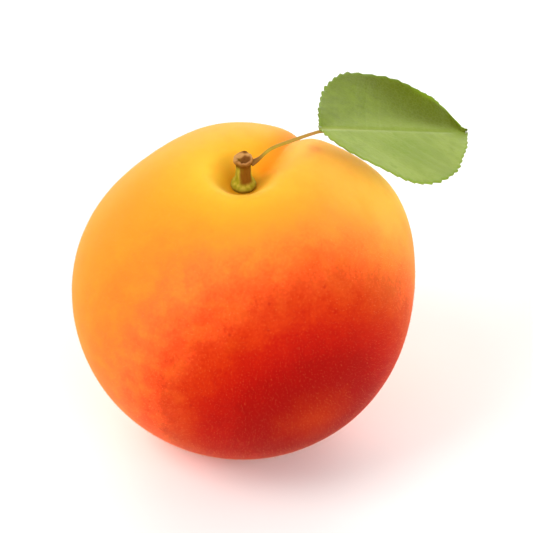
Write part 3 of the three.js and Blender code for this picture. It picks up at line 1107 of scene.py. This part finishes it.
def leaf_finish(wires):
    place = upright_place(wires)
    along = named(wires, "along")
    lane = named(wires, "lane")
    cloud = speckle(place, 0.16, 3, 0.5)
    mottle = speckle(place, 0.6, 4, 0.6)
    net = {"Vector": place, "Scale": NET_DENSITY}
    from_net = place.node("ShaderNodeTexVoronoi", {"feature": "DISTANCE_TO_EDGE"}, net)
    clouded = (cloud + 0.5 * (mottle - 0.5)).ramp(0.3, 0.7)
    colour = clouded.mix(paint("#7f903a"), paint("#8f9f4a"))
    colour = covered(colour, broad_tints(along, lane, cloud, mottle))
    colour = covered(colour, fine_tints(wires, along, lane, from_net))
    roughness = 0.42 + 0.2 * mottle
    normal = bumps(from_net.ramp(0.0, 0.3), NET_DEPTH, 0.4)
    return {"Base Color": colour, "Roughness": roughness, "Normal": normal}


def underleaf_finish(wires):
    mottle = speckle(upright_place(wires), 0.9, 4, 0.6)
    colour = mottle.mix(paint("#b4c49a"), paint("#c9d6ae"))
    colour = covered(colour, [(named(wires, "vein"), 0.5, paint("#ccd8a8"))])
    return {"Base Color": colour, "Roughness": 0.6 + 0.2 * mottle}


print(f"the net has {NET_DENSITY} cells in a millimetre")

# %% Thicken the blade
BLADE_THICKNESS = 0.28 * MM
blade_recipe = blade_tree(make_material("leaf_top", leaf_finish, LEAF))
blade = grow("leaf_blade", blade_recipe, BLADE_SIZES)
blade.data.materials.append(make_material("leaf_under", underleaf_finish, LEAF))
thick = blade.modifiers.new("Thickness", "SOLIDIFY")
thick.thickness = BLADE_THICKNESS
thick.offset = -1
thick.material_offset = 1
thick.material_offset_rim = 0
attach(blade, "root")
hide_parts("leaf")

# %% [markdown]
# ## The leaf's stalk
# The stalk grows from the side of the cup with a thick foot, arches over the fruit and runs on
# under the blade as its midrib. A curve object with a round bevel could do that, but its foot and
# its end need other widths than its middle. So a Geometry Nodes tree gives a curve along that path
# a round section, with a radius that changes along it.

# %% Path of the stalk
# millimetres from the middle of the fruit, up to where the blade begins
STALK_PATH = [
    (1.4, -2.7, 24.5), (2.5, -2.1, 24.95), (4.3, -0.7, 25.75), (7.2, 1.5, 25.6), (10.1, 3.7, 25.3),
]
# part of the blade's length, and millimetres above its plane
STALK_UNDER_BLADE = [(0.03, -0.6), (0.2, -0.64), (0.45, -0.6), (0.7, -0.5), (0.94, -0.3)]
STALK_STEPS = 12
stalk_line = [MIDDLE + Vector(point) * MM for point in STALK_PATH]
for part, above in STALK_UNDER_BLADE:
    arch = BLADE_SIZES["Arch"] * math.sin(math.pi * part)
    step = BLADE_ALONG * part * BLADE_SIZES["Length"] + BLADE_UP * (above * MM + arch)
    stalk_line.append(BLADE_BASE + step)
stalk_line = smooth_line(stalk_line, STALK_STEPS)
stalk_start = bpy.data.meshes.new("stalk_line")
stalk_start.from_pydata(stalk_line, [(i, i + 1) for i in range(len(stalk_line) - 1)], [])
print(f"the stalk's path has {len(stalk_line)} points")

# %% Grow the stalk
STALK_SIZES = {"Radius": 0.25 * MM, "Foot swelling": 0.2 * MM, "End radius": 0.1 * MM}
STALK_SIDES = 20
STALK_UNEVENNESS = 0.12
LUMPS_TO_A_METRE = 900


def stalk_tree(material):
    """Bends a round section along the path, thick at its foot and thinner towards its end."""
    size = new_tree("Stalk", STALK_SIZES)
    path = size["Geometry"].node("GeometryNodeMeshToCurve", inputs={0: size["Geometry"]})
    path = stored(path, "along", path.node("GeometryNodeSplineParameter"))
    along = path.node("GeometryNodeSplineParameter")
    swell = size["Foot swelling"] * (1 - along.ramp(0.0, 0.05))
    thin = size["End radius"] + (size["Radius"] - size["End radius"]) * (1 - along.ramp(0.2, 1.0))
    lumps = speckle(path.node("GeometryNodeInputPosition"), LUMPS_TO_A_METRE)
    radius = (thin + swell) * (1 + STALK_UNEVENNESS * (lumps - 0.5))
    circle = {"Resolution": STALK_SIDES, "Radius": 1.0}
    section = path.node("GeometryNodeCurvePrimitiveCircle", inputs=circle)
    bent = {"Curve": path, "Profile Curve": section, "Scale": radius, "Fill Caps": True}
    return end_tree(path.node("GeometryNodeCurveToMesh", inputs=bent), material)


def stalk_finish(wires):
    """Yellow brown, with a brown foot, a rosy stretch before the blade, and green under it."""
    along = named(wires, "along")
    mottle = speckle(upright_place(wires), 1.2, 4, 0.6)
    rosy = (along - 0.27).bell(0.09) * mottle.ramp(0.3, 0.6)
    colour = covered(mottle.mix(paint("#94781c"), paint("#ac9034")), [
        (rosy, 0.6, paint("#b07048")),
        (1 - along.ramp(0.02, 0.07), 1.0, paint("#7c5220")),
        (along.ramp(0.3, 0.36), 1.0, paint("#b3bd60")),
    ])
    return {"Base Color": colour, "Roughness": 0.45 + 0.2 * mottle}


stalk_recipe = stalk_tree(make_material("stalk", stalk_finish, BARK))
stalk = grow("leaf_stalk", stalk_recipe, STALK_SIZES, stalk_start)
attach(stalk, "root")
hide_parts("leaf")

# %% [markdown]
# ## Floor and light
# The floor is a plain pale sheet. The light is that of a soft studio: a broad lamp above and to the
# left, a wider one low in front, one low behind, and an even pale surrounding that fills the
# shadows. The leaf keeps the light from above off the shoulder beside it, and the low lamp behind
# reaches in under the leaf.

# %% Lay the floor
FLOOR_WIDTH = 6.0
CLOUDS_TO_A_METRE = 40
FLOOR = {"Roughness": 0.9, "Specular IOR Level": 0.1}


def floor_finish(wires):
    clouds = speckle(wires.node("ShaderNodeTexCoord", output=3), CLOUDS_TO_A_METRE, 3)
    return {"Base Color": clouds.mix(paint("#f4f3f1"), paint("#f8f7f6"))}


half = FLOOR_WIDTH / 2
corners = [(-half, -half, 0), (half, -half, 0), (half, half, 0), (-half, half, 0)]
floor_mesh = bpy.data.meshes.new("floor")
floor_mesh.from_pydata(corners, [], [(0, 1, 2, 3)])
floor_mesh.materials.append(make_material("floor", floor_finish, FLOOR))
floor = keep("floor", floor_mesh)

# %% Set the lamps
LAMP_DISTANCE = 1.2
# direction from the fruit, width in metres, power in watts and colour
LAMPS = {
    "key": ((-0.8, -0.45, 1.0), 0.6, 7, (1, 0.985, 0.96)),
    "fill": ((0.65, -1.0, 0.45), 0.9, 10, (1, 0.99, 0.97)),
    "back": ((0.0, 1.0, 0.2), 1.0, 16, (1, 0.99, 0.97)),
}
SURROUNDINGS_STRENGTH = 0.68


def set_lamp(name, direction, width, watts, colour):
    """A square soft lamp that faces the fruit from a direction."""
    light = bpy.data.lights.new(name, "AREA")
    light.size = width
    light.energy = watts
    light.color = colour
    holder = bpy.data.objects.new(name, light)
    outwards = Vector(direction).normalized()
    holder.location = MIDDLE + LAMP_DISTANCE * outwards
    holder.rotation_euler = (-outwards).to_track_quat("-Z", "Y").to_euler()
    bpy.context.collection.objects.link(holder)


for name, settings in LAMPS.items():
    set_lamp(name, *settings)
world = bpy.data.worlds.new("surroundings")
world.use_nodes = True
background = world.node_tree.nodes["Background"]
background.inputs["Color"].default_value = paint("#ffffff")
background.inputs["Strength"].default_value = SURROUNDINGS_STRENGTH
bpy.context.scene.world = world
bpy.context.scene.view_settings.view_transform = "Standard"
print(f"{len(LAMPS)} lamps and pale surroundings")
